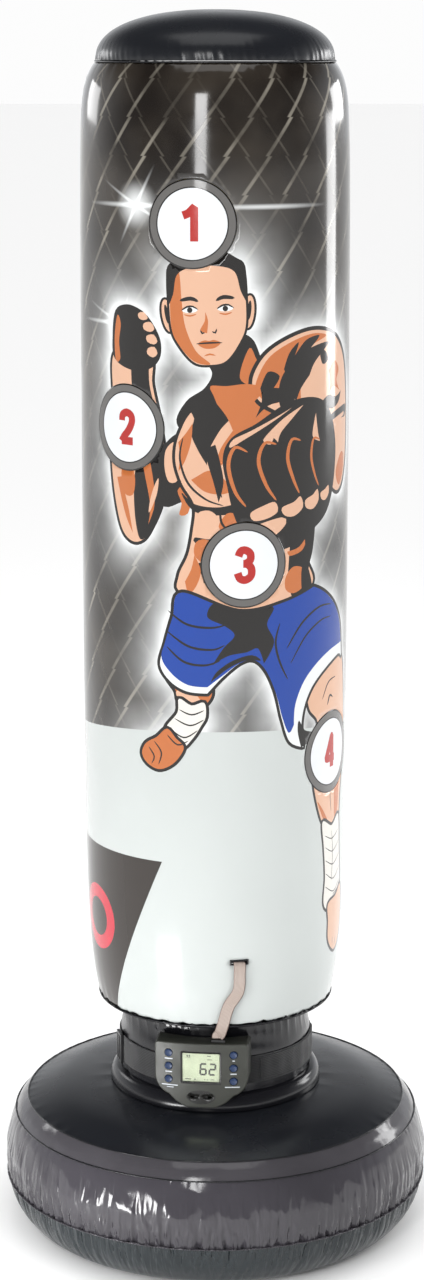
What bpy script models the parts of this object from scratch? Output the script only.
"""Inflatable electronic punch tower: a water-filled vinyl base, a bending neck with a strapped-on hit
counter, and an air-filled tower with four numbered targets. Metres, +Z up, front faces -Y, origin on
the floor in the middle of the base."""

import math

import bmesh
import bpy
from mathutils import Matrix, Vector

# Driving dimensions, in metres
TOTAL_HEIGHT = 1.600
TOWER_RADIUS = 0.1715  # at its widest, half way up
TOWER_BOTTOM = 0.3170  # height of the gathered seam under the tower
TOWER_BOTTOM_RADIUS = 0.1550
BOTTOM_SHOULDER = 0.060  # how far up the tower's lower end keeps rounding
TOP_SEAM_DROP = 0.063  # from the crown down to the seam of the dome
TOP_SEAM_INSET = 0.0203  # how much narrower the tower is at that seam
BARREL = 0.0014  # how much the pressure bulges the tower's middle
BASE_RADIUS = 0.2845
BASE_CONTACT_RADIUS = 0.215
BASE_SIDE_BOTTOM = 0.0655  # height of the base's lower seam
BASE_SIDE_TOP = 0.1526  # height of the band's lower seam
BASE_BAND_TOP = 0.1726  # height of the band's upper seam
BASE_TOP = 0.1935  # height of the top panel at the neck
WATER_LEVEL = 0.105
NECK_RADIUS = 0.1275
COLLAR_HEIGHT = 0.0205
COLLAR_WIDTH = 0.0145
NECK_SPLIT = 0.2640  # where the neck's lower tube ends and its bending sleeve starts
STRAP_BOTTOM = 0.2255
STRAP_WIDTH = 0.0370
STRAP_THICKNESS = 0.0014
CONSOLE_AZIMUTH = math.radians(-7.0)
CONSOLE_WIDTH = 0.122
CONSOLE_BOTTOM = 0.2055
CONSOLE_TOP = 0.2930
CONSOLE_DEPTH = 0.0260  # from the strap out to its front
CONSOLE_BULGE = 0.00756  # how far the middle of its curved face stands out beyond the sides
CONSOLE_FACE_RADIUS = (CONSOLE_WIDTH**2 / 4 + CONSOLE_BULGE**2) / (2 * CONSOLE_BULGE)
CONSOLE_WALL = 0.0018
LCD_WIDTH, LCD_HEIGHT = 0.048, 0.0385
LCD_BELOW_TOP = 0.0325  # from the console's top edge down to the middle of the display
BUTTON_RADIUS = 0.0049
BUTTON_OFFSET = 0.0425  # from the console's middle to each column of buttons
BUTTON_PITCH = 0.0180
BUTTON_BELOW_TOP = 0.0145  # from the top edge to the first button
BUTTON_TRAVEL = 0.0010
TARGET_RADIUS = 0.0540
TARGET_DEPTH = 0.0036  # room behind a target's face
TARGETS = [(-9.6, 1.346), (-39.7, 1.094), (11.7, 0.927), (60.0, 0.667)]  # degrees round, height
SLOT_AZIMUTH, SLOT_HEIGHT = math.radians(10.6), 0.4078
RIBBON_WIDTH, RIBBON_THICKNESS = 0.0155, 0.0009
SEAM_AZIMUTH = math.radians(-92.0)
AIR_VALVE_HEIGHT = 0.46
AIR_VALVE_RADIUS = 0.0125
AIR_VALVE_STANDOFF = 0.0006  # of its flange from the wall where the wall comes out furthest under it
WATER_VALVE_OFFSET = 0.205
WATER_VALVE_RADIUS = 0.0140
CELL_RADIUS, CELL_LENGTH = 0.00525, 0.0445
FILM = 0.0012  # thickness of the vinyl
GAP = 0.0003  # clearance between pieces that touch
LEAN_HEIGHT = 0.210  # axis of the fore and aft lean, at the neck's foot
SWAY_HEIGHT = 0.290  # axis of the sideways lean, at the neck's top
SEGMENTS = 36

# The ribbon cable from inside the slot down to the console's top, point by point
RIBBON_ROUTE = [
    (0.0294, -0.1573, 0.4078), (0.0306, -0.1637, 0.4078), (0.0311, -0.1668, 0.4074),
    (0.0314, -0.1690, 0.4050), (0.0315, -0.1698, 0.4010), (0.0312, -0.1700, 0.3925),
    (0.0310, -0.1696, 0.3790), (0.0288, -0.1690, 0.3685), (0.0238, -0.1684, 0.3600),
    (0.0182, -0.1678, 0.3515), (0.0142, -0.1668, 0.3400), (0.0110, -0.1655, 0.3274),
    (0.0084, -0.1632, 0.3180), (0.0062, -0.1586, 0.3095), (0.0044, -0.1520, 0.3045),
    (0.0035, -0.1482, 0.3020), (0.0034, -0.1474, 0.2986),
]  # fmt: skip

SEAM_HEIGHT = 0.0028
SEAM_PROUD = 0.0028
FLANGE = 0.0009  # how far a button's flange stands out, and its thickness
TOP_SEAM = TOTAL_HEIGHT - TOP_SEAM_DROP
TOWER_MIDDLE = (TOWER_BOTTOM + TOP_SEAM) / 2
CONSOLE_BACK = NECK_RADIUS + STRAP_THICKNESS + 2 * GAP
CONSOLE_FRONT = CONSOLE_BACK + CONSOLE_DEPTH


# Scene, collections and materials
def clear_scene():
    for obj in list(bpy.data.objects):
        bpy.data.objects.remove(obj, do_unlink=True)


def collection(name):
    made = bpy.data.collections.new(name)
    bpy.context.scene.collection.children.link(made)
    return made


def paint(obj, colour, roughness=0.4, metallic=0.0, alpha=1.0):
    material = bpy.data.materials.new(obj.name + "_material")
    material.use_nodes = True
    shader = material.node_tree.nodes["Principled BSDF"]
    shader.inputs["Base Color"].default_value = (*colour, 1.0)
    shader.inputs["Roughness"].default_value = roughness
    shader.inputs["Metallic"].default_value = metallic
    shader.inputs["Alpha"].default_value = alpha
    obj.data.materials.append(material)


def link(name, mesh, group):
    obj = bpy.data.objects.new(name, mesh)
    group.objects.link(obj)
    return obj


def hide_cutter(obj):
    obj.hide_render = True
    obj.display_type = "WIRE"
    return obj


def boolean(obj, cutter, operation="DIFFERENCE"):
    modifier = obj.modifiers.new(operation.lower(), "BOOLEAN")
    modifier.operation = operation
    modifier.solver = "EXACT"
    modifier.object = cutter
    return obj


# Places on the object
def around(radius, azimuth, height):
    """A point at this radius and height; azimuth 0 is the front and grows towards +X."""
    return Vector((radius * math.sin(azimuth), -radius * math.cos(azimuth), height))


def tower_radius(z):
    """Outer radius of the inflated tower at height z."""
    up, down = z - TOWER_BOTTOM, TOP_SEAM - z
    half = TOWER_MIDDLE - TOWER_BOTTOM
    bulge = BARREL * ((z - TOWER_MIDDLE) / half) ** 2
    low = (TOWER_RADIUS - BARREL - TOWER_BOTTOM_RADIUS) * math.exp(-up / BOTTOM_SHOULDER)
    high = TOP_SEAM_INSET * (0.8 * math.exp(-down / 0.02) + 0.2 * math.exp(-down / 0.08))
    return TOWER_RADIUS - bulge - low - high


def tower_levels():
    """Heights at which the tower's profile gets a point: close together at its rounded ends."""
    start, end = TOWER_BOTTOM + SEAM_HEIGHT, TOP_SEAM - SEAM_HEIGHT / 2 - GAP
    steps = (0.0, 0.014, 0.04, 0.09, 0.2)
    middle = [start + (end - start) * share for share in (0.35, 0.6)]
    ends = (0.2, 0.075, 0.032, 0.013, 0.0)
    return [start + s for s in steps] + middle + [end - e for e in ends]


def console_face(x, inset=0.0):
    """Depth (-y) of the console's curved face, or of a surface inset behind it, this far from its middle."""
    radius = CONSOLE_FACE_RADIUS - inset
    return CONSOLE_FRONT - CONSOLE_FACE_RADIUS + math.sqrt(radius**2 - x * x)


def button_back():
    """Depth of the back of the buttons' flanges, which lie just behind the front cover's wall."""
    edge = BUTTON_OFFSET + BUTTON_RADIUS + FLANGE
    return console_face(edge, CONSOLE_WALL) - GAP - FLANGE


# Makers of shapes
def revolve(name, profile, group, steps=SEGMENTS, closed=True):
    """A turned piece. The profile is a list of (radius, height); a closed one is a loop, and an open one
    starts and ends on the axis. It is turned so that it runs down its outer side."""
    area = sum(
        a[0] * b[1] - b[0] * a[1] for a, b in zip(profile, profile[1:] + profile[:1])
    )
    points = profile if area < 0 else profile[::-1]
    mesh = bpy.data.meshes.new(name)
    edges = [(i, i + 1) for i in range(len(points) - 1)]
    if closed:
        edges.append((len(points) - 1, 0))
    mesh.from_pydata([(r, 0, z) for r, z in points], edges, [])
    obj = link(name, mesh, group)
    screw = obj.modifiers.new("turned", "SCREW")
    screw.axis = "Z"
    screw.steps = screw.render_steps = steps
    screw.use_merge_vertices = True
    screw.merge_threshold = 0.00001
    screw.use_smooth_shade = True
    return obj


def shell(name, outer, group, thickness=FILM):
    """A turned wall: the outer points with the same points moved inwards by the wall's thickness. The
    points run from the top down. A free end is cut level, or upright where the wall lies flat, so that
    it can face a seam."""
    inner = []
    for i, (r, z) in enumerate(outer):
        before, after = outer[max(i - 1, 0)], outer[min(i + 1, len(outer) - 1)]
        along = Vector((after[0] - before[0], after[1] - before[1])).normalized()
        if r == 0.0:
            inner.append((0.0, z - along.x * thickness))
        elif i in (0, len(outer) - 1):
            flat = abs(along.y) < 0.15
            inner.append((r, z - thickness) if flat else (r + thickness / along.y, z))
        else:
            inner.append((r + along.y * thickness, z - along.x * thickness))
    if outer[-1][0] == 0.0:
        return revolve(name, inner[::-1] + outer, group, closed=False)
    return revolve(name, outer + inner[::-1], group, closed=outer[0][0] != 0.0)


def ring(name, radius, height, group, width=SEAM_PROUD, tall=SEAM_HEIGHT):
    """A narrow weld seam that stands out of the surface, centred on this radius and height."""
    return revolve(
        name,
        [
            (radius - width / 2, height + tall / 2),
            (radius + width / 2, height + tall / 2),
            (radius + width / 2, height - tall / 2),
            (radius - width / 2, height - tall / 2),
        ],
        group,
    )


def block(name, size, centre, group, bevel=0.0):
    mesh = bpy.data.meshes.new(name)
    shape = bmesh.new()
    bmesh.ops.create_cube(shape, size=1.0, matrix=Matrix.Diagonal((*size, 1.0)))
    shape.to_mesh(mesh)
    shape.free()
    obj = link(name, mesh, group)
    obj.location = centre
    if bevel:
        rounding = obj.modifiers.new("rounded", "BEVEL")
        rounding.width = bevel
        rounding.segments = 1
    return obj


def rod(name, radius, start, end, group, segments=24):
    """A cylinder between two points."""
    start, end = Vector(start), Vector(end)
    mesh = bpy.data.meshes.new(name)
    shape = bmesh.new()
    bmesh.ops.create_cone(
        shape,
        cap_ends=True,
        segments=segments,
        radius1=radius,
        radius2=radius,
        depth=(end - start).length,
    )
    shape.to_mesh(mesh)
    shape.free()
    obj = link(name, mesh, group)
    obj.location = (start + end) / 2
    obj.rotation_euler = (end - start).to_track_quat("Z", "Y").to_euler()
    return obj


def outline(name, points, thickness, group):
    """A flat outline in x and z, extruded along y and centred there; its front faces -y."""
    curve = bpy.data.curves.new(name, "CURVE")
    curve.dimensions = "2D"
    curve.fill_mode = "BOTH"
    curve.extrude = thickness / 2
    spline = curve.splines.new("POLY")
    spline.points.add(len(points) - 1)
    for point, (x, z) in zip(spline.points, points):
        point.co = (x, z, 0.0, 1.0)
    spline.use_cyclic_u = True
    guide = bpy.data.objects.new(name + "_outline", curve)
    bpy.context.scene.collection.objects.link(guide)
    bpy.context.view_layer.update()
    graph = bpy.context.evaluated_depsgraph_get()
    mesh = bpy.data.meshes.new_from_object(guide.evaluated_get(graph))
    bpy.data.objects.remove(guide)
    shape = bmesh.new()
    shape.from_mesh(mesh)
    bmesh.ops.remove_doubles(shape, verts=shape.verts, dist=0.00001)
    bmesh.ops.rotate(shape, verts=shape.verts, matrix=Matrix.Rotation(math.pi / 2, 3, "X"))
    bmesh.ops.recalc_face_normals(shape, faces=shape.faces)
    shape.to_mesh(mesh)
    shape.free()
    return link(name, mesh, group)


def tube(name, points, radius, group):
    curve = bpy.data.curves.new(name, "CURVE")
    curve.dimensions = "3D"
    curve.bevel_depth = radius
    curve.bevel_resolution = 1
    curve.use_fill_caps = True
    spline = curve.splines.new("POLY")
    spline.points.add(len(points) - 1)
    for point, place in zip(spline.points, points):
        point.co = (*place, 1.0)
    return link(name, curve, group)


def smooth_route(points, steps):
    """Points on a Catmull-Rom curve through the route's own points."""
    route = [Vector(p) for p in points]
    route = [2 * route[0] - route[1], *route, 2 * route[-1] - route[-2]]
    made = []
    for a, b, c, d in zip(route, route[1:], route[2:], route[3:]):
        for step in range(steps):
            t = step / steps
            made.append(
                0.5
                * (
                    2 * b
                    + (c - a) * t
                    + (2 * a - 5 * b + 4 * c - d) * t * t
                    + (3 * b - a - 3 * c + d) * t**3
                )
            )
    made.append(route[-2])
    return made


def strip(name, line, width, thickness, group):
    """A flat ribbon along a line: a loft of rectangles that stay square to it and face outwards."""
    mesh = bpy.data.meshes.new(name)
    shape = bmesh.new()
    rows = []
    for i, place in enumerate(line):
        along = (line[min(i + 1, len(line) - 1)] - line[max(i - 1, 0)]).normalized()
        out = Vector((place.x, place.y, 0.0)).normalized()
        side = along.cross(out + Vector((0, 0, 0.35))).normalized()
        face = side.cross(along).normalized()
        a, b = side * width / 2, face * thickness / 2
        rows.append([shape.verts.new(place + c) for c in (a + b, a - b, -a - b, -a + b)])
    for first, second in zip(rows, rows[1:]):
        for i in range(4):
            shape.faces.new((first[i], first[i - 1], second[i - 1], second[i]))
    shape.faces.new(rows[0])
    shape.faces.new(rows[-1][::-1])
    bmesh.ops.recalc_face_normals(shape, faces=shape.faces)
    shape.to_mesh(mesh)
    shape.free()
    return link(name, mesh, group)


def parent_to(empty, objects):
    bpy.context.view_layer.update()
    for obj in objects:
        obj.parent = empty
        obj.matrix_parent_inverse = empty.matrix_world.inverted()


def axis_empty(name, location, group):
    empty = bpy.data.objects.new(name, None)
    group.objects.link(empty)
    empty.location = location
    return empty


# The base
def make_base(group, cutters):
    black, smoke = (0.012, 0.013, 0.016), (0.10, 0.10, 0.105)
    half = SEAM_HEIGHT / 2 + GAP
    low = BASE_RADIUS - 0.0030  # radius at the lower seam
    mid = BASE_RADIUS - 0.0148  # radius at the band's lower seam
    high = BASE_RADIUS - 0.0317  # radius at the band's upper seam
    bottom = shell(
        "base_bottom_panel",
        [
            (low - 0.0004, BASE_SIDE_BOTTOM - half),
            (low - 0.0045, BASE_SIDE_BOTTOM * 0.66),
            (low - 0.0150, BASE_SIDE_BOTTOM * 0.36),
            ((low + BASE_CONTACT_RADIUS) / 2, BASE_SIDE_BOTTOM * 0.10),
            (BASE_CONTACT_RADIUS, 0.0),
            (0.0, 0.0),
        ],
        group,
    )
    paint(bottom, black, 0.35)
    tall = BASE_SIDE_TOP - BASE_SIDE_BOTTOM
    side = shell(
        "base_side_wall",
        [
            (mid + 0.0004, BASE_SIDE_TOP - half),
            (mid + 0.0068, BASE_SIDE_TOP - 0.18 * tall),
            (BASE_RADIUS - 0.0006, BASE_SIDE_TOP - 0.50 * tall),
            (BASE_RADIUS, BASE_SIDE_TOP - 0.74 * tall),
            (low + 0.0004, BASE_SIDE_BOTTOM + half),
        ],
        group,
    )
    paint(side, smoke, 0.12)
    band = shell(
        "base_band",
        [
            (high + 0.0008, BASE_BAND_TOP - half),
            ((mid + high) / 2 + 0.0015, (BASE_SIDE_TOP + BASE_BAND_TOP) / 2),
            (mid - 0.0004, BASE_SIDE_TOP + half),
        ],
        group,
    )
    paint(band, smoke, 0.10)
    inner = NECK_RADIUS - FILM
    rise, reach = BASE_TOP - BASE_BAND_TOP - half, high - inner
    top = shell(
        "base_top_panel",
        [
            (inner, BASE_TOP),
            (inner + 0.30 * reach, BASE_BAND_TOP + half + 0.87 * rise),
            (inner + 0.66 * reach, BASE_BAND_TOP + half + 0.57 * rise),
            (high - 0.0010, BASE_BAND_TOP + half),
        ],
        group,
    )
    paint(top, black, 0.3)
    for name, radius, height in (
        ("base_lower_seam", low, BASE_SIDE_BOTTOM),
        ("base_band_lower_seam", mid, BASE_SIDE_TOP),
        ("base_band_upper_seam", high, BASE_BAND_TOP),
    ):
        paint(ring(name, radius - SEAM_PROUD * 0.1, height, group), black, 0.3)
    depth = FILM + 2 * GAP + 0.0015
    water = revolve(
        "water_ballast",
        [
            (0.0, WATER_LEVEL),
            (BASE_RADIUS - depth - 0.0025, WATER_LEVEL),
            (low - depth - 0.0020, BASE_SIDE_BOTTOM),
            (low - depth - 0.0160, BASE_SIDE_BOTTOM * 0.40),
            (BASE_CONTACT_RADIUS - depth, 0.1 * BASE_SIDE_BOTTOM),
            (BASE_CONTACT_RADIUS - depth, FILM + GAP),
            (0.0, FILM + GAP),
        ],
        group,
        closed=False,
    )
    paint(water, (0.5, 0.6, 0.65), 0.05, alpha=0.5)
    membrane = revolve(
        "divider_membrane",
        [
            (0.0, BASE_TOP),
            (inner - GAP, BASE_TOP),
            (inner - GAP, BASE_TOP - FILM),
            (0.0, BASE_TOP - FILM),
        ],
        group,
        closed=False,
    )
    paint(membrane, black, 0.4)
    valve_y, seat = WATER_VALVE_OFFSET, BASE_TOP - 0.0016
    stem = WATER_VALVE_RADIUS * 0.62
    hole = rod("water_valve_hole", stem + GAP, (0, valve_y, 0.15), (0, valve_y, 0.25), cutters)
    boolean(top, hide_cutter(hole))
    stem, lip = WATER_VALVE_RADIUS * 0.62, WATER_VALVE_RADIUS
    body = revolve(
        "water_valve_body",
        [
            (stem - 0.0016, seat + 0.0035),
            (lip, seat + 0.0035),
            (lip, seat + 0.0015),
            (stem, seat + 0.0010),
            (stem, seat - 0.0130),
            (stem - 0.0016, seat - 0.0130),
        ],
        group,
        steps=20,
    )
    body.location = (0, valve_y, 0)
    paint(body, (0.08, 0.08, 0.085), 0.4)
    cap = revolve(
        "water_valve_cap",
        [
            (0.0, seat + 0.0075),
            (lip - 0.0015, seat + 0.0075),
            (lip, seat + 0.0065),
            (lip, seat + 0.0035 + GAP),
            (stem - 0.0016 - GAP, seat + 0.0035 + GAP),
            (stem - 0.0016 - GAP, seat - 0.0045),
            (0.0, seat - 0.0045),
        ],
        group,
        steps=20,
        closed=False,
    )
    cap.location = (0, valve_y, 0)
    paint(cap, (0.05, 0.05, 0.055), 0.35)


# The neck, its strap and buckle
def make_neck(group):
    black = (0.010, 0.010, 0.012)
    foot = BASE_TOP + GAP
    inner = NECK_RADIUS + GAP
    collar = revolve(
        "neck_collar",
        [
            (inner, foot + COLLAR_HEIGHT),
            (inner + COLLAR_WIDTH * 0.45, foot + COLLAR_HEIGHT * 0.93),
            (inner + COLLAR_WIDTH * 0.88, foot + COLLAR_HEIGHT * 0.62),
            (inner + COLLAR_WIDTH, foot + COLLAR_HEIGHT * 0.30),
            (inner + COLLAR_WIDTH * 0.93, foot),
            (inner, foot),
        ],
        group,
    )
    paint(collar, black, 0.3)
    inside = NECK_RADIUS - FILM
    pieces = [collar]
    for name, low, high in (
        ("neck_lower_tube", foot, NECK_SPLIT),
        ("neck_upper_sleeve", NECK_SPLIT + GAP, TOWER_BOTTOM - 0.0115),
    ):
        piece = revolve(
            name,
            [(NECK_RADIUS, high), (NECK_RADIUS, low), (inside, low), (inside, high)],
            group,
        )
        paint(piece, black, 0.35)
        pieces.append(piece)
    inner, outer = NECK_RADIUS + GAP, NECK_RADIUS + GAP + STRAP_THICKNESS
    top = STRAP_BOTTOM + STRAP_WIDTH
    strap = revolve(
        "console_strap",
        [(outer, top), (outer, STRAP_BOTTOM), (inner, STRAP_BOTTOM), (inner, top)],
        group,
    )
    paint(strap, black, 0.8)
    pieces += [strap, make_buckle(group, outer + 2 * GAP)]
    return pieces


def make_buckle(group, radius):
    """A ladder-lock frame: an upright rectangle with two windows and a bar between them."""
    tall, wide, thick, bar = STRAP_WIDTH + 0.004, 0.024, 0.004, 0.0035
    azimuth = math.radians(-76.0)
    centre = around(radius + thick / 2, azimuth, STRAP_BOTTOM + STRAP_WIDTH / 2)
    cutters = bpy.data.collections["cutters"]
    buckle = block("ladder_lock_buckle", (wide, thick, tall), (0, 0, 0), group)
    for side in (-1, 1):
        window = block(
            "buckle_window",
            ((wide - 3 * bar) / 2, 4 * thick, tall - 2 * bar),
            (side * (wide - 3 * bar) / 4 + side * bar / 2, 0, 0),
            cutters,
        )
        boolean(buckle, hide_cutter(window))
        parent_to(buckle, [window])
    buckle.location = centre
    buckle.rotation_euler = (0, 0, azimuth)
    paint(buckle, (0.02, 0.02, 0.022), 0.4)
    return buckle


# The hit counter on the neck, modelled straight ahead and then turned with its empty
def console_outline(inset=0.0):
    """Straight top and sides, tapering to a rounded bottom."""
    half, top, bottom = CONSOLE_WIDTH / 2 - inset, CONSOLE_TOP - inset, CONSOLE_BOTTOM + inset
    height = top - bottom
    knee = bottom + 0.48 * height
    corner, nose = 0.003, 0.62 * half
    points = [(-half + corner, top), (half - corner, top), (half, top - corner), (half, knee)]
    steps = 6
    for i in range(1, steps + 1):
        turn = i / (steps + 1) * math.pi / 2
        drop = 0.62 * (knee - bottom) * math.sin(turn)
        points.append((nose + (half - nose) * math.cos(turn), knee - drop))
    points += [(nose * 0.86, bottom + 0.16 * (knee - bottom)), (nose * 0.5, bottom)]
    left = [(-x, z) for x, z in reversed(points[2:])]
    return points + left


def make_console(group, cutters, collar):
    dark = (0.022, 0.023, 0.022)
    back, front = CONSOLE_BACK, CONSOLE_FRONT
    split = back + 0.0098  # where the front cover meets the rear cover
    membrane_front = button_back() - BUTTON_TRAVEL - 0.0002
    board_front = membrane_front - 0.0010 - GAP
    board_back = board_front - 0.0016
    deep = 0.08
    middle = CONSOLE_TOP - LCD_BELOW_TOP
    pieces = []

    def slab(name, near, far, inset, where=group):
        """The console's outline between two distances from the tower's axis."""
        made = outline(name, console_outline(inset), far - near, where)
        made.location = (0, -(near + far) / 2, 0)
        return made

    face = rod(
        "console_face_round",
        CONSOLE_FACE_RADIUS,
        (0, CONSOLE_FACE_RADIUS - front, CONSOLE_BOTTOM - 0.05),
        (0, CONSOLE_FACE_RADIUS - front, CONSOLE_TOP + 0.05),
        cutters,
        segments=96,
    )
    inner_face = rod(
        "console_cavity_round",
        CONSOLE_FACE_RADIUS - CONSOLE_WALL,
        (0, CONSOLE_FACE_RADIUS - front, CONSOLE_BOTTOM - 0.05),
        (0, CONSOLE_FACE_RADIUS - front, CONSOLE_TOP + 0.05),
        cutters,
        segments=96,
    )
    below, above = (0, 0, CONSOLE_BOTTOM - 0.05), (0, 0, CONSOLE_TOP + 0.05)
    strap_round = rod("console_back_round", back, below, above, cutters, segments=3 * SEGMENTS)
    cavity = slab("console_front_cavity", split - deep, front, CONSOLE_WALL, cutters)
    boolean(cavity, inner_face, "INTERSECT")
    cover = slab("console_front_cover", split, front + 0.001, 0.0)
    boolean(cover, face, "INTERSECT")
    boolean(cover, cavity)
    openings = [
        block(
            "lcd_opening",
            (LCD_WIDTH + 2 * GAP, deep, LCD_HEIGHT + 2 * GAP),
            (0, -front, middle),
            cutters,
        )
    ]
    for side in (-1, 1):
        for row in range(3):
            x, z = button_place(side, row)
            openings.append(
                rod(
                    "button_hole",
                    BUTTON_RADIUS + GAP,
                    (x, -front - 0.02, z),
                    (x, -front + 0.009, z),
                    cutters,
                    segments=16,
                )
            )
        openings.append(
            block(
                "sound_slot", (0.011, 0.02, 0.0035), (side * 0.009, -front, CONSOLE_BOTTOM + 0.0145), cutters
            )
        )
    for cutter in [face, inner_face, strap_round, cavity, *openings]:
        hide_cutter(cutter)
    for opening in openings:
        boolean(cover, opening)
    paint(cover, dark, 0.45)
    dent = slab("collar_dent", back - 0.03, front + 0.01, -2 * GAP, cutters)
    boolean(collar, hide_cutter(dent))
    rear = slab("console_rear_cover", back - 0.03, split - GAP, 0.0)
    boolean(rear, strap_round)
    hollow_radius = back + CONSOLE_WALL
    hollow_round = rod("console_hollow_round", hollow_radius, below, above, cutters, segments=3 * SEGMENTS)
    hollow = slab("console_rear_cavity", back - 0.04, split + 0.01, CONSOLE_WALL, cutters)
    boolean(hollow, hide_cutter(hollow_round))
    boolean(rear, hide_cutter(hollow))
    door_hole = block(
        "battery_hatch", (0.052 + 2 * GAP, 0.03, 0.030 + 2 * GAP), (0, -back, CONSOLE_BOTTOM + 0.047), cutters
    )
    boolean(rear, hide_cutter(door_hole))
    paint(rear, dark, 0.5)
    door = block("battery_door", (0.052, 0.0011, 0.030), (0, -back - 0.0011, CONSOLE_BOTTOM + 0.047), group)
    paint(door, dark, 0.5)
    pieces += [cover, rear, door]

    window = block(
        "lcd_window", (LCD_WIDTH, 0.0010, LCD_HEIGHT), (0, -front + 0.0011, middle), group
    )
    paint(window, (0.7, 0.75, 0.7), 0.05, alpha=0.3)
    panel = block(
        "lcd_panel",
        (LCD_WIDTH + 0.004, 0.0028, LCD_HEIGHT + 0.003),
        (0, -front + CONSOLE_WALL + 0.0035, middle),
        group,
    )
    paint(panel, (0.62, 0.68, 0.55), 0.25)
    board = block(
        "circuit_board",
        (CONSOLE_WIDTH - 0.012, board_front - board_back, 0.048),
        (0, -(board_front + board_back) / 2, middle - 0.001),
        group,
    )
    paint(board, (0.02, 0.16, 0.06), 0.5)
    horn = rod(
        "speaker",
        0.0088,
        (0, -front + CONSOLE_WALL + 0.0008, CONSOLE_BOTTOM + 0.0145),
        (0, -front + CONSOLE_WALL + 0.0048, CONSOLE_BOTTOM + 0.0145),
        group,
        segments=20,
    )
    paint(horn, (0.03, 0.03, 0.03), 0.5)
    pieces += [window, panel, board, horn]
    for side, name in ((-1, "left"), (1, "right")):
        x, z = button_place(side, 1)
        membrane = block(
            f"button_membrane_{name}",
            (0.013, 0.0010, 2 * BUTTON_PITCH + 0.012),
            (x, -membrane_front + 0.0005, z),
            group,
        )
        paint(membrane, (0.25, 0.25, 0.27), 0.6)
        pieces.append(membrane)
    for i in range(2):
        z = CONSOLE_BOTTOM + 0.0405 + i * (2 * CELL_RADIUS + 0.0012)
        y = -board_back + 2 * GAP + CELL_RADIUS
        ends = (-CELL_LENGTH / 2, y, z), (CELL_LENGTH / 2, y, z)
        cell = rod(f"battery_{i + 1}", CELL_RADIUS, *ends, group, segments=14)
        paint(cell, (0.55, 0.42, 0.15), 0.3, 0.8)
        pieces.append(cell)
    connector = block(
        "ribbon_connector",
        (RIBBON_WIDTH + 0.003, 0.0050, 0.0042),
        (0.0218, -back - 0.0172, CONSOLE_TOP + GAP + 0.0021),
        group,
        bevel=0.0006,
    )
    paint(connector, (0.02, 0.02, 0.02), 0.5)
    pieces.append(connector)
    for i, side in enumerate((-1, 1)):
        x = side * (CONSOLE_WIDTH / 2 - 0.009)
        y = -math.sqrt((back - GAP) ** 2 - x * x)
        screw = rod(
            f"console_screw_{i + 1}",
            0.0013,
            (x, y - 0.0085, CONSOLE_TOP - 0.009),
            (x, -split - 0.003, CONSOLE_TOP - 0.009),
            group,
            segments=10,
        )
        paint(screw, (0.5, 0.5, 0.52), 0.3, 1.0)
        pieces.append(screw)
    pieces += make_buttons(group)
    pivot = axis_empty("console_turn", (0, 0, 0), group)
    cuts = [face, inner_face, strap_round, cavity, dent, hollow_round, hollow, door_hole, *openings]
    parent_to(pivot, pieces + cuts)
    pivot.rotation_euler = (0, 0, CONSOLE_AZIMUTH)
    bpy.context.view_layer.update()
    return [pivot]


def button_place(side, row):
    return side * BUTTON_OFFSET, CONSOLE_TOP - BUTTON_BELOW_TOP - row * BUTTON_PITCH


def make_buttons(group):
    """Six buttons: a round head through the front cover and a flange that keeps it in."""
    proud, back = 0.0014, button_back()
    flange = back + FLANGE
    made = []
    for side, name in ((-1, "left"), (1, "right")):
        for row in range(3):
            x, z = button_place(side, row)
            face = console_face(x) + proud
            profile = [
                (0.0, face),
                (BUTTON_RADIUS - 0.0007, face),
                (BUTTON_RADIUS, face - 0.0007),
                (BUTTON_RADIUS, flange),
                (BUTTON_RADIUS + FLANGE, flange),
                (BUTTON_RADIUS + FLANGE, back),
                (0.0, back),
            ]
            button = revolve(f"button_{name}_{row + 1}", profile, group, steps=14, closed=False)
            button.rotation_euler = (math.pi / 2, 0, 0)
            button.location = (x, 0, z)
            paint(button, (0.02, 0.05, 0.13), 0.4)
            made.append(button)
    return made


# The tower
def tower_shell(name, group, outer, inner, low, high):
    """Part of a turned wall that follows the tower, between two offsets and two heights."""
    levels = [z for z in tower_levels() if low < z < high]
    levels = [low, *levels, high]
    profile = [(tower_radius(z) + outer, z) for z in reversed(levels)]
    profile += [(tower_radius(z) + inner, z) for z in levels]
    return revolve(name, profile, group)


def radial(name, radius, azimuth, height, near, far, group, segments=24):
    """A cylinder that points straight out of the tower."""
    return rod(name, radius, around(near, azimuth, height), around(far, azimuth, height), group, segments)


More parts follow.
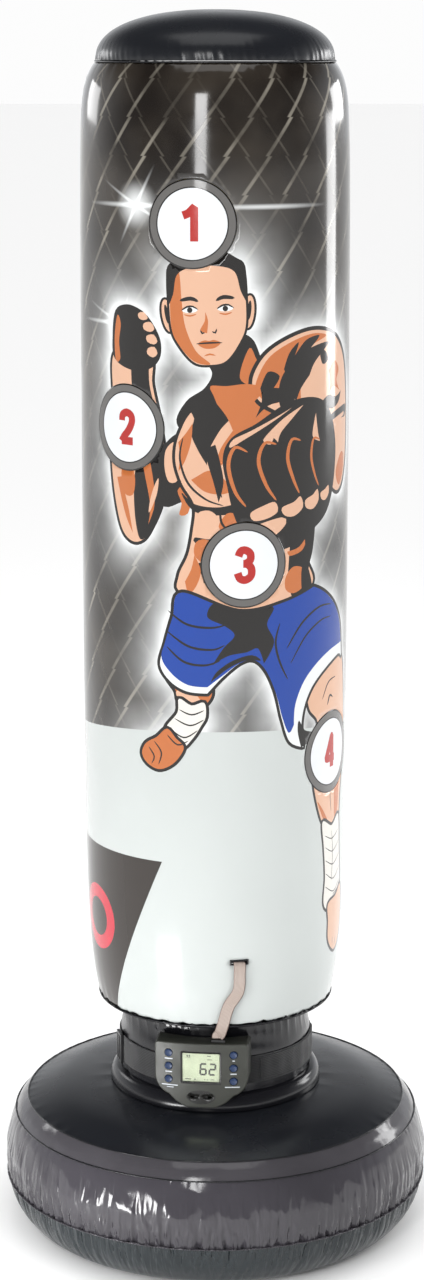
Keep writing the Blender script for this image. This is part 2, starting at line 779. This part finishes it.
def make_tower(group, cutters):
    black = (0.010, 0.010, 0.012)
    levels = tower_levels()
    outer = [(tower_radius(z), z) for z in reversed(levels)]
    wall = shell("tower_wall", outer, group)
    paint(wall, (0.35, 0.34, 0.34), 0.15)
    pieces = [wall]
    seam_radius = tower_radius(TOP_SEAM)
    pieces.append(ring("tower_top_seam", seam_radius + 0.0006, TOP_SEAM, group))
    pieces.append(
        ring(
            "tower_bottom_seam",
            TOWER_BOTTOM_RADIUS + 0.0016,
            TOWER_BOTTOM + SEAM_HEIGHT / 2 - GAP,
            group,
            width=0.0046,
        )
    )
    start = TOP_SEAM + SEAM_HEIGHT / 2 + GAP
    rise = TOTAL_HEIGHT - start
    turns = (0.0, 0.26, 0.5, 0.78, 1.0)
    dome = []
    for share in turns:
        turn = share * math.pi / 2
        dome.append((seam_radius * math.sin(turn) ** 0.9, start + rise * math.cos(turn) ** 0.86))
    dome[0] = (0.0, TOTAL_HEIGHT)
    dome[-1] = (seam_radius, start)
    pieces.append(shell("tower_top_dome", dome, group))
    low = TOWER_BOTTOM - GAP
    pieces.append(
        revolve(
            "tower_bottom_panel",
            [
                (TOWER_BOTTOM_RADIUS, low - GAP),
                (TOWER_BOTTOM_RADIUS, low - FILM - GAP),
                ((TOWER_BOTTOM_RADIUS + NECK_RADIUS) / 2, low - FILM - 0.0045),
                (NECK_RADIUS - FILM, low - 0.0110),
                (NECK_RADIUS - FILM, low - 0.0110 + FILM),
                ((TOWER_BOTTOM_RADIUS + NECK_RADIUS) / 2, low - 0.0045),
            ],
            group,
        )
    )
    for piece in pieces[1:]:
        paint(piece, black, 0.3)
    seam_line = [
        around(tower_radius(z) + 0.0011, SEAM_AZIMUTH, z)
        for z in [TOWER_BOTTOM + SEAM_HEIGHT + 0.002, *levels[1:-1], levels[-1] - 0.002]
    ]
    seam = tube("tower_vertical_seam", seam_line, 0.0008, group)
    paint(seam, black, 0.35)
    pieces.append(seam)
    pieces += make_air_valve(group, cutters, wall)
    pieces += make_slot(group, cutters, wall)
    for i, (azimuth, height) in enumerate(TARGETS):
        pieces += make_target(i + 1, math.radians(azimuth), height, group, cutters, wall)
    harness = make_harness(group)
    pieces.append(harness)
    return pieces


def facet_rise(levels, start, end, surface):
    """How far the wall's straight facets stand out beyond a radius, anywhere from start to end."""
    rise = 0.0
    for low, high in zip(levels, levels[1:]):
        for z in (max(low, start), min(high, end)):
            share = (z - low) / (high - low)
            reach = tower_radius(low) * (1 - share) + tower_radius(high) * share
            rise = max(rise, reach - surface)
    return rise


def make_air_valve(group, cutters, wall):
    radius, z, back = AIR_VALVE_RADIUS, AIR_VALVE_HEIGHT, math.pi
    surface = tower_radius(z)
    stem = radius * 0.6
    hole = radial("air_valve_hole", stem + GAP, back, z, surface - 0.03, surface + 0.03, cutters)
    boolean(wall, hide_cutter(hole))
    levels = tower_levels()
    below = max(level for level in levels if level < z - radius)
    above = min(level for level in levels if level > z + radius)
    facets = (below, *(level for level in levels if below < level < above), above)
    flat = surface + AIR_VALVE_STANDOFF + facet_rise(facets, z - radius, z + radius, surface)
    body = revolve(
        "air_valve_body",
        [
            (stem - 0.0015, flat + 0.0022),
            (radius - 0.0005, flat + 0.0018),
            (radius, flat),
            (stem, flat),
            (stem, flat - 0.0170),
            (stem - 0.0015, flat - 0.0170),
        ],
        group,
        steps=20,
    )
    plug = revolve(
        "air_valve_plug",
        [
            (0.0, flat + 0.0042),
            (stem + 0.0008, flat + 0.0042),
            (stem + 0.0014, flat + 0.0036),
            (stem + 0.0014, flat + 0.0022 + GAP),
            (stem - 0.0015 - GAP, flat + 0.0022 + GAP),
            (stem - 0.0024, flat - 0.0090),
            (0.0, flat - 0.0090),
        ],
        group,
        steps=20,
        closed=False,
    )
    for piece in (body, plug):
        piece.rotation_euler = (-math.pi / 2, 0, 0)
        piece.location = (0, 0, z)
        paint(piece, (0.06, 0.06, 0.065), 0.4)
    return [body, plug, hole]


def make_slot(group, cutters, wall):
    """The edging of the slot that the ribbon cable comes out of."""
    wide, tall = RIBBON_WIDTH + 0.0085, 0.0070
    open_wide, open_tall = RIBBON_WIDTH + 0.0030, 0.0030
    centre = around(tower_radius(SLOT_HEIGHT), SLOT_AZIMUTH, SLOT_HEIGHT)
    edging = tower_shell(
        "ribbon_slot_edging", group, 0.0008, -FILM - 0.0008, SLOT_HEIGHT - 0.02, SLOT_HEIGHT + 0.02
    )
    shapes = (
        ("slot_in_wall", wide + 2 * GAP, tall + 2 * GAP, wall, "DIFFERENCE"),
        ("slot_edge_outside", wide, tall, edging, "INTERSECT"),
        ("slot_edge_inside", open_wide, open_tall, edging, "DIFFERENCE"),
    )
    made = [edging]
    for name, width, height, host, operation in shapes:
        cutter = block(name, (width, 0.05, height), centre, cutters)
        cutter.rotation_euler = (0, 0, SLOT_AZIMUTH)
        boolean(host, hide_cutter(cutter), operation)
        made.append(cutter)
    paint(edging, (0.01, 0.01, 0.01), 0.5)
    return made


def make_target(number, azimuth, height, group, cutters, wall):
    """A target: the face that is hit, a spacer ring behind its rim and a sensor disc behind that."""
    surface = tower_radius(height)
    near, far = surface - 0.03, surface + 0.02
    spacer_radius = TARGET_RADIUS + 0.0045
    rings = FILM + GAP
    low, high = height - 2 * TARGET_RADIUS, height + 2 * TARGET_RADIUS
    opening = TARGET_RADIUS + GAP + 0.0001
    hole = radial(f"target_hole_{number}", opening, azimuth, height, near, far, cutters, 36)
    disc = radial(f"target_disc_{number}", TARGET_RADIUS, azimuth, height, near, far, cutters, 36)
    rim = radial(f"target_rim_{number}", spacer_radius, azimuth, height, near, far, cutters, 36)
    for cutter in (hole, disc, rim):
        hide_cutter(cutter)
    boolean(wall, hole)
    face = tower_shell(f"target_face_{number}", group, 0.0, -FILM, low, high)
    boolean(face, disc, "INTERSECT")
    paint(face, (0.85, 0.85, 0.86), 0.15)
    spacer = tower_shell(f"target_spacer_{number}", group, -rings, -rings - TARGET_DEPTH, low, high)
    boolean(spacer, rim, "INTERSECT")
    boolean(spacer, hole)
    paint(spacer, (0.2, 0.2, 0.2), 0.9)
    behind = rings + TARGET_DEPTH + GAP
    sensor = tower_shell(f"target_sensor_{number}", group, -behind, -behind - FILM, low, high)
    boolean(sensor, rim, "INTERSECT")
    paint(sensor, (0.6, 0.5, 0.2), 0.4)
    return [face, spacer, sensor, hole, disc, rim]


def make_harness(group):
    """The lead that visits the four sensors inside the wall and ends behind the slot."""
    inset = 0.0098
    stops = [(math.radians(a), z) for a, z in TARGETS]
    stops[0] = (stops[0][0], stops[0][1] + 0.01)
    stops.append((SLOT_AZIMUTH, SLOT_HEIGHT + 0.012))
    line = []
    for (a0, z0), (a1, z1) in zip(stops, stops[1:]):
        steps = 5
        for i in range(steps):
            share = i / steps
            z = z0 + (z1 - z0) * share
            line.append(around(tower_radius(z) - inset, a0 + (a1 - a0) * share, z))
    azimuth, z = stops[-1]
    line.append(around(tower_radius(z) - inset, azimuth, z))
    harness = tube("sensor_harness", line, 0.0012, group)
    paint(harness, (0.6, 0.58, 0.52), 0.6)
    return harness


def main():
    clear_scene()
    parts = collection("inflatable_punch_tower")
    cutters = collection("cutters")
    make_base(parts, cutters)
    neck_pieces = make_neck(parts)
    neck_pieces += make_console(parts, cutters, neck_pieces[0])
    tower_pieces = make_tower(parts, cutters)
    ribbon = strip(
        "ribbon_cable", smooth_route(RIBBON_ROUTE, 2), RIBBON_WIDTH, RIBBON_THICKNESS, parts
    )
    paint(ribbon, (0.62, 0.57, 0.52), 0.5)
    lean = axis_empty("lean_fore_aft_axis", (0, 0, LEAN_HEIGHT), parts)
    sway = axis_empty("lean_sideways_axis", (0, 0, SWAY_HEIGHT), parts)
    parent_to(lean, [*neck_pieces, ribbon, sway])
    parent_to(sway, tower_pieces)


main()
